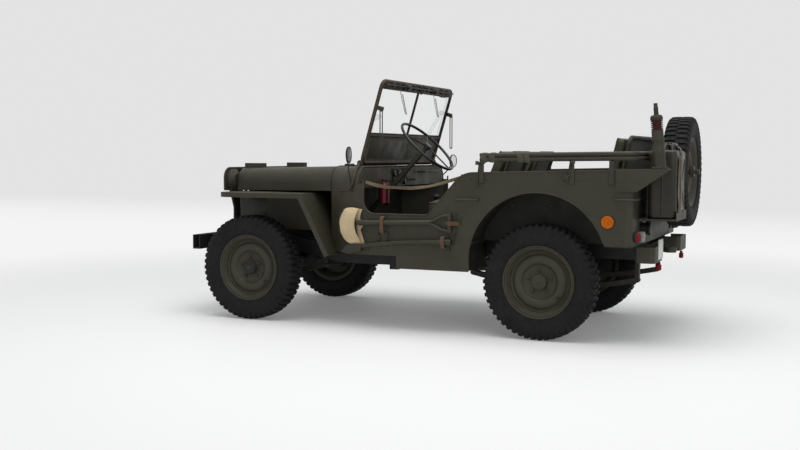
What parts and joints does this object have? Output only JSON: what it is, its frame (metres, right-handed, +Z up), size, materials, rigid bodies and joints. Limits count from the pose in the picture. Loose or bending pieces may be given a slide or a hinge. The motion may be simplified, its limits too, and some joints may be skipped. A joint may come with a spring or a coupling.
{
  "type": "open army 4x4 car",
  "caption": "Open army field car with a pressed steel tub, flat fenders, slotted grille, folding windscreen, hinged hood, steered front wheels and stowage at the rear.",
  "frame": {"origin": "on the ground under the middle of the car", "axes": "+X forward, +Y to the left, +Z up"},
  "size_m": [3.344, 1.566, 1.6088],
  "materials": {
    "olive_paint": "satin",
    "black_paint": "satin",
    "cast_engine": "matte",
    "tyre_rubber": "matte",
    "olive_canvas": "matte",
    "clear_glass": "polished",
    "black_plastic": "gloss",
    "lamp_grey": "satin",
    "orange_lens": "gloss",
    "white_plate": "satin",
    "beige_webbing": "matte",
    "red_enamel": "gloss"
  },
  "bodies": {
    "root": {"body_side_left": "olive_paint", "body_side_right": "olive_paint", "rear_panel": "olive_paint", "wheel_boxes": "olive_paint", "body_floor": "olive_paint", "cowl": "olive_paint", "dash_panel": "olive_paint", "fender_left": "olive_paint", "fender_right": "olive_paint", "grille": "olive_paint", "cowl_hinges": "olive_paint", "headlamps": "olive_paint", "steering_column": "olive_paint", "seat_frames": "olive_paint", "top_bows": "olive_paint", "spare_wheel": "olive_paint", "rear_carriers": "olive_paint", "fuel_can": "olive_paint", "antenna_base": "olive_paint", "body_fittings": "olive_paint", "shovel": "olive_paint", "axe": "olive_paint", "driving_mirror": "olive_paint", "rear_bumperettes": "olive_paint", "frame": "black_paint", "front_bumper": "black_paint", "front_axle": "black_paint", "rear_axle": "black_paint", "leaf_springs": "black_paint", "drivetrain": "black_paint", "exhaust": "black_paint", "radiator": "black_paint", "levers_and_pedals": "black_paint", "engine": "cast_engine", "spare_tyre": "tyre_rubber", "seat_cushions": "olive_canvas", "tail_lamps": "lamp_grey", "reflectors": "orange_lens", "licence_plate": "white_plate", "safety_strap": "beige_webbing", "fire_extinguisher": "red_enamel"},
    "hood": {"hood": "olive_paint"},
    "windscreen": {"windscreen_frame": "olive_paint", "windscreen_glass": "clear_glass", "windscreen_fittings": "black_paint"},
    "steering_wheel": {"steering_wheel": "black_plastic"},
    "passenger_seat": {"passenger_seat_frame": "olive_paint", "passenger_seat_cushions": "olive_canvas"},
    "knuckle_left": {"knuckle_left": "black_paint"},
    "knuckle_right": {"knuckle_right": "black_paint"},
    "wheel_front_left": {"tyre_front_left": "tyre_rubber", "wheel_front_left": "olive_paint"},
    "wheel_front_right": {"tyre_front_right": "tyre_rubber", "wheel_front_right": "olive_paint"},
    "wheel_rear_left": {"tyre_rear_left": "tyre_rubber", "wheel_rear_left": "olive_paint"},
    "wheel_rear_right": {"tyre_rear_right": "tyre_rubber", "wheel_rear_right": "olive_paint"}
  },
  "joints": [
    {"name": "hood_lift", "type": "hinge", "parent": "root", "child": "hood", "pos_m": [0.583, 0, 1.0496], "axis": [0, 1, 0], "range_deg": [-115, 0]},
    {"name": "windscreen_fold", "type": "hinge", "parent": "root", "child": "windscreen", "pos_m": [0.3405, 0, 1.068], "axis": [0, 1, 0], "range_deg": [0, 100]},
    {"name": "passenger_seat_tip", "type": "hinge", "parent": "root", "child": "passenger_seat", "pos_m": [-0.078, -0.305, 0.511], "axis": [0, 1, 0], "range_deg": [0, 55]},
    {"name": "steer_left", "type": "hinge", "parent": "root", "child": "knuckle_left", "pos_m": [1.162, 0.5, 0.354], "axis": [0, 0, 1], "range_deg": [-26, 26]},
    {"name": "steer_right", "type": "hinge", "parent": "root", "child": "knuckle_right", "pos_m": [1.162, -0.5, 0.354], "axis": [0, 0, 1], "range_deg": [-26, 26]},
    {"name": "steering_wheel_turn", "type": "hinge", "parent": "root", "child": "steering_wheel", "pos_m": [-0.004, 0.33, 1.175], "axis": [-0.6884, 0, 0.7254], "range_deg": [-366, 366]},
    {"name": "spin_front_left", "type": "hinge", "parent": "knuckle_left", "child": "wheel_front_left", "pos_m": [1.162, 0.6225, 0.354], "axis": [0, 1, 0], "continuous": true},
    {"name": "spin_front_right", "type": "hinge", "parent": "knuckle_right", "child": "wheel_front_right", "pos_m": [1.162, -0.6225, 0.354], "axis": [0, 1, 0], "continuous": true},
    {"name": "spin_rear_left", "type": "hinge", "parent": "root", "child": "wheel_rear_left", "pos_m": [-0.87, 0.6225, 0.354], "axis": [0, 1, 0], "continuous": true},
    {"name": "spin_rear_right", "type": "hinge", "parent": "root", "child": "wheel_rear_right", "pos_m": [-0.87, -0.6225, 0.354], "axis": [0, 1, 0], "continuous": true}
  ],
  "couplings": [
    {"joint": "steer_right", "follows": "steer_left", "ratio": 1},
    {"joint": "steering_wheel_turn", "follows": "steer_left", "ratio": 14}
  ]
}
